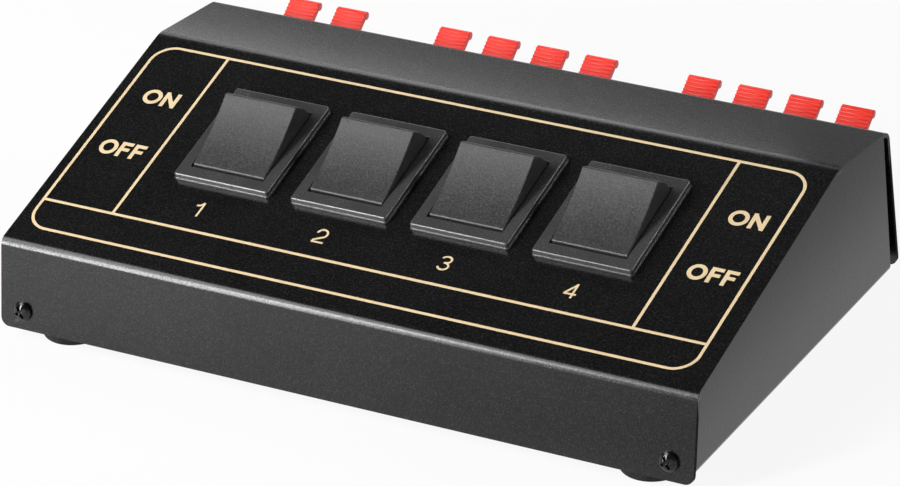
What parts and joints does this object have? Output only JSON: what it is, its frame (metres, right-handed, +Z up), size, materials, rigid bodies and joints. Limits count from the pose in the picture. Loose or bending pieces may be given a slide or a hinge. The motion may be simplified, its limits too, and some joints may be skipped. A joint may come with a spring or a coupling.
{
  "type": "speaker selector switch",
  "caption": "Sloped black metal case with a row of rocker switches on top and spring-lever push terminals along the rear, on round rubber feet.",
  "frame": {"origin": "on the surface under the feet, at the middle of the whole part's box", "axes": "+X along the width, to the right as seen from the front; +Y from the front flange to the terminals at the rear; +Z up"},
  "size_m": [0.18, 0.118, 0.0455],
  "materials": {
    "case_paint": "satin black",
    "screw_black": "gloss black",
    "foot_rubber": "matt",
    "switch_housing": "satin",
    "rocker_plastic": "fine grain",
    "contact_brass": "plain",
    "contact_plated": "plated",
    "spring_steel": "plain",
    "block_plastic": "satin",
    "lever_red": "gloss",
    "lever_black": "gloss",
    "rivet_metal": "plain",
    "lead_cover": "satin"
  },
  "bodies": {
    "case": {"cover": "case_paint", "base_tray": "case_paint", "front_screws": "screw_black", "bottom_screws": "screw_black", "foot_front_left": "foot_rubber", "foot_front_right": "foot_rubber", "foot_rear_left": "foot_rubber", "foot_rear_right": "foot_rubber", "switch_housing_1": "switch_housing", "switch_housing_2": "switch_housing", "switch_housing_3": "switch_housing", "switch_housing_4": "switch_housing", "terminals_1": "contact_plated", "terminals_2": "contact_plated", "terminals_3": "contact_plated", "terminals_4": "contact_plated", "block_input": "block_plastic", "block_a": "block_plastic", "block_b": "block_plastic", "clamps_input": "contact_brass", "clamps_a": "contact_brass", "clamps_b": "contact_brass", "block_rivets": "rivet_metal", "leads": "lead_cover"},
    "rocker_1_body": {"rocker_1": "rocker_plastic", "plungers_1": "contact_brass", "plunger_springs_1": "spring_steel"},
    "seesaw_1_body": {"seesaws_1": "contact_brass"},
    "rocker_2_body": {"rocker_2": "rocker_plastic", "plungers_2": "contact_brass", "plunger_springs_2": "spring_steel"},
    "seesaw_2_body": {"seesaws_2": "contact_brass"},
    "rocker_3_body": {"rocker_3": "rocker_plastic", "plungers_3": "contact_brass", "plunger_springs_3": "spring_steel"},
    "seesaw_3_body": {"seesaws_3": "contact_brass"},
    "rocker_4_body": {"rocker_4": "rocker_plastic", "plungers_4": "contact_brass", "plunger_springs_4": "spring_steel"},
    "seesaw_4_body": {"seesaws_4": "contact_brass"},
    "lever_input_red_1_body": {"lever_input_red_1": "lever_red"},
    "lever_input_red_2_body": {"lever_input_red_2": "lever_red"},
    "lever_input_black_1_body": {"lever_input_black_1": "lever_black"},
    "lever_input_black_2_body": {"lever_input_black_2": "lever_black"},
    "lever_a_red_1_body": {"lever_a_red_1": "lever_red"},
    "lever_a_red_2_body": {"lever_a_red_2": "lever_red"},
    "lever_a_red_3_body": {"lever_a_red_3": "lever_red"},
    "lever_a_red_4_body": {"lever_a_red_4": "lever_red"},
    "lever_a_black_1_body": {"lever_a_black_1": "lever_black"},
    "lever_a_black_2_body": {"lever_a_black_2": "lever_black"},
    "lever_a_black_3_body": {"lever_a_black_3": "lever_black"},
    "lever_a_black_4_body": {"lever_a_black_4": "lever_black"},
    "lever_b_red_1_body": {"lever_b_red_1": "lever_red"},
    "lever_b_red_2_body": {"lever_b_red_2": "lever_red"},
    "lever_b_red_3_body": {"lever_b_red_3": "lever_red"},
    "lever_b_red_4_body": {"lever_b_red_4": "lever_red"},
    "lever_b_black_1_body": {"lever_b_black_1": "lever_black"},
    "lever_b_black_2_body": {"lever_b_black_2": "lever_black"},
    "lever_b_black_3_body": {"lever_b_black_3": "lever_black"},
    "lever_b_black_4_body": {"lever_b_black_4": "lever_black"}
  },
  "joints": [
    {"name": "rocker_1_turn", "type": "hinge", "parent": "case", "child": "rocker_1_body", "pos_m": [-0.047, -0.01072, 0.03481], "axis": [1, 0, 0], "range_deg": [-37, 0]},
    {"name": "seesaw_1_rock", "type": "hinge", "parent": "case", "child": "seesaw_1_body", "pos_m": [-0.047, -0.00751, 0.02335], "axis": [1, 0, 0], "range_deg": [0, 18]},
    {"name": "rocker_2_turn", "type": "hinge", "parent": "case", "child": "rocker_2_body", "pos_m": [-0.0156, -0.01072, 0.03481], "axis": [1, 0, 0], "range_deg": [-37, 0]},
    {"name": "seesaw_2_rock", "type": "hinge", "parent": "case", "child": "seesaw_2_body", "pos_m": [-0.0156, -0.00751, 0.02335], "axis": [1, 0, 0], "range_deg": [0, 18]},
    {"name": "rocker_3_turn", "type": "hinge", "parent": "case", "child": "rocker_3_body", "pos_m": [0.0158, -0.01072, 0.03481], "axis": [1, 0, 0], "range_deg": [-37, 0]},
    {"name": "seesaw_3_rock", "type": "hinge", "parent": "case", "child": "seesaw_3_body", "pos_m": [0.0158, -0.00751, 0.02335], "axis": [1, 0, 0], "range_deg": [0, 18]},
    {"name": "rocker_4_turn", "type": "hinge", "parent": "case", "child": "rocker_4_body", "pos_m": [0.0472, -0.01072, 0.03481], "axis": [1, 0, 0], "range_deg": [-37, 0]},
    {"name": "seesaw_4_rock", "type": "hinge", "parent": "case", "child": "seesaw_4_body", "pos_m": [0.0472, -0.00751, 0.02335], "axis": [1, 0, 0], "range_deg": [0, 18]},
    {"name": "lever_input_red_1_press", "type": "hinge", "parent": "case", "child": "lever_input_red_1_body", "pos_m": [-0.0717, 0.04606, 0.03182], "axis": [1, 0, 0], "range_deg": [-18, 0], "stiffness_Nm_per_rad": 0.03, "springref_deg": 6.88},
    {"name": "lever_input_red_2_press", "type": "hinge", "parent": "case", "child": "lever_input_red_2_body", "pos_m": [-0.0585, 0.04606, 0.03182], "axis": [1, 0, 0], "range_deg": [-18, 0], "stiffness_Nm_per_rad": 0.03, "springref_deg": 6.88},
    {"name": "lever_input_black_1_press", "type": "hinge", "parent": "case", "child": "lever_input_black_1_body", "pos_m": [-0.0717, 0.04802, 0.01393], "axis": [1, 0, 0], "range_deg": [0, 18], "stiffness_Nm_per_rad": 0.03, "springref_deg": -6.88},
    {"name": "lever_input_black_2_press", "type": "hinge", "parent": "case", "child": "lever_input_black_2_body", "pos_m": [-0.0585, 0.04802, 0.01393], "axis": [1, 0, 0], "range_deg": [0, 18], "stiffness_Nm_per_rad": 0.03, "springref_deg": -6.88},
    {"name": "lever_a_red_1_press", "type": "hinge", "parent": "case", "child": "lever_a_red_1_body", "pos_m": [-0.0297, 0.04606, 0.03182], "axis": [1, 0, 0], "range_deg": [-18, 0], "stiffness_Nm_per_rad": 0.03, "springref_deg": 6.88},
    {"name": "lever_a_red_2_press", "type": "hinge", "parent": "case", "child": "lever_a_red_2_body", "pos_m": [-0.0165, 0.04606, 0.03182], "axis": [1, 0, 0], "range_deg": [-18, 0], "stiffness_Nm_per_rad": 0.03, "springref_deg": 6.88},
    {"name": "lever_a_red_3_press", "type": "hinge", "parent": "case", "child": "lever_a_red_3_body", "pos_m": [-0.0033, 0.04606, 0.03182], "axis": [1, 0, 0], "range_deg": [-18, 0], "stiffness_Nm_per_rad": 0.03, "springref_deg": 6.88},
    {"name": "lever_a_red_4_press", "type": "hinge", "parent": "case", "child": "lever_a_red_4_body", "pos_m": [0.0099, 0.04606, 0.03182], "axis": [1, 0, 0], "range_deg": [-18, 0], "stiffness_Nm_per_rad": 0.03, "springref_deg": 6.88},
    {"name": "lever_a_black_1_press", "type": "hinge", "parent": "case", "child": "lever_a_black_1_body", "pos_m": [-0.0297, 0.04802, 0.01393], "axis": [1, 0, 0], "range_deg": [0, 18], "stiffness_Nm_per_rad": 0.03, "springref_deg": -6.88},
    {"name": "lever_a_black_2_press", "type": "hinge", "parent": "case", "child": "lever_a_black_2_body", "pos_m": [-0.0165, 0.04802, 0.01393], "axis": [1, 0, 0], "range_deg": [0, 18], "stiffness_Nm_per_rad": 0.03, "springref_deg": -6.88},
    {"name": "lever_a_black_3_press", "type": "hinge", "parent": "case", "child": "lever_a_black_3_body", "pos_m": [-0.0033, 0.04802, 0.01393], "axis": [1, 0, 0], "range_deg": [0, 18], "stiffness_Nm_per_rad": 0.03, "springref_deg": -6.88},
    {"name": "lever_a_black_4_press", "type": "hinge", "parent": "case", "child": "lever_a_black_4_body", "pos_m": [0.0099, 0.04802, 0.01393], "axis": [1, 0, 0], "range_deg": [0, 18], "stiffness_Nm_per_rad": 0.03, "springref_deg": -6.88},
    {"name": "lever_b_red_1_press", "type": "hinge", "parent": "case", "child": "lever_b_red_1_body", "pos_m": [0.0372, 0.04606, 0.03182], "axis": [1, 0, 0], "range_deg": [-18, 0], "stiffness_Nm_per_rad": 0.03, "springref_deg": 6.88},
    {"name": "lever_b_red_2_press", "type": "hinge", "parent": "case", "child": "lever_b_red_2_body", "pos_m": [0.0504, 0.04606, 0.03182], "axis": [1, 0, 0], "range_deg": [-18, 0], "stiffness_Nm_per_rad": 0.03, "springref_deg": 6.88},
    {"name": "lever_b_red_3_press", "type": "hinge", "parent": "case", "child": "lever_b_red_3_body", "pos_m": [0.0636, 0.04606, 0.03182], "axis": [1, 0, 0], "range_deg": [-18, 0], "stiffness_Nm_per_rad": 0.03, "springref_deg": 6.88},
    {"name": "lever_b_red_4_press", "type": "hinge", "parent": "case", "child": "lever_b_red_4_body", "pos_m": [0.0768, 0.04606, 0.03182], "axis": [1, 0, 0], "range_deg": [-18, 0], "stiffness_Nm_per_rad": 0.03, "springref_deg": 6.88},
    {"name": "lever_b_black_1_press", "type": "hinge", "parent": "case", "child": "lever_b_black_1_body", "pos_m": [0.0372, 0.04802, 0.01393], "axis": [1, 0, 0], "range_deg": [0, 18], "stiffness_Nm_per_rad": 0.03, "springref_deg": -6.88},
    {"name": "lever_b_black_2_press", "type": "hinge", "parent": "case", "child": "lever_b_black_2_body", "pos_m": [0.0504, 0.04802, 0.01393], "axis": [1, 0, 0], "range_deg": [0, 18], "stiffness_Nm_per_rad": 0.03, "springref_deg": -6.88},
    {"name": "lever_b_black_3_press", "type": "hinge", "parent": "case", "child": "lever_b_black_3_body", "pos_m": [0.0636, 0.04802, 0.01393], "axis": [1, 0, 0], "range_deg": [0, 18], "stiffness_Nm_per_rad": 0.03, "springref_deg": -6.88},
    {"name": "lever_b_black_4_press", "type": "hinge", "parent": "case", "child": "lever_b_black_4_body", "pos_m": [0.0768, 0.04802, 0.01393], "axis": [1, 0, 0], "range_deg": [0, 18], "stiffness_Nm_per_rad": 0.03, "springref_deg": -6.88}
  ],
  "couplings": [
    {"joint": "seesaw_1_rock", "follows": "rocker_1_turn", "ratio": -0.48649},
    {"joint": "seesaw_2_rock", "follows": "rocker_2_turn", "ratio": -0.48649},
    {"joint": "seesaw_3_rock", "follows": "rocker_3_turn", "ratio": -0.48649},
    {"joint": "seesaw_4_rock", "follows": "rocker_4_turn", "ratio": -0.48649}
  ]
}
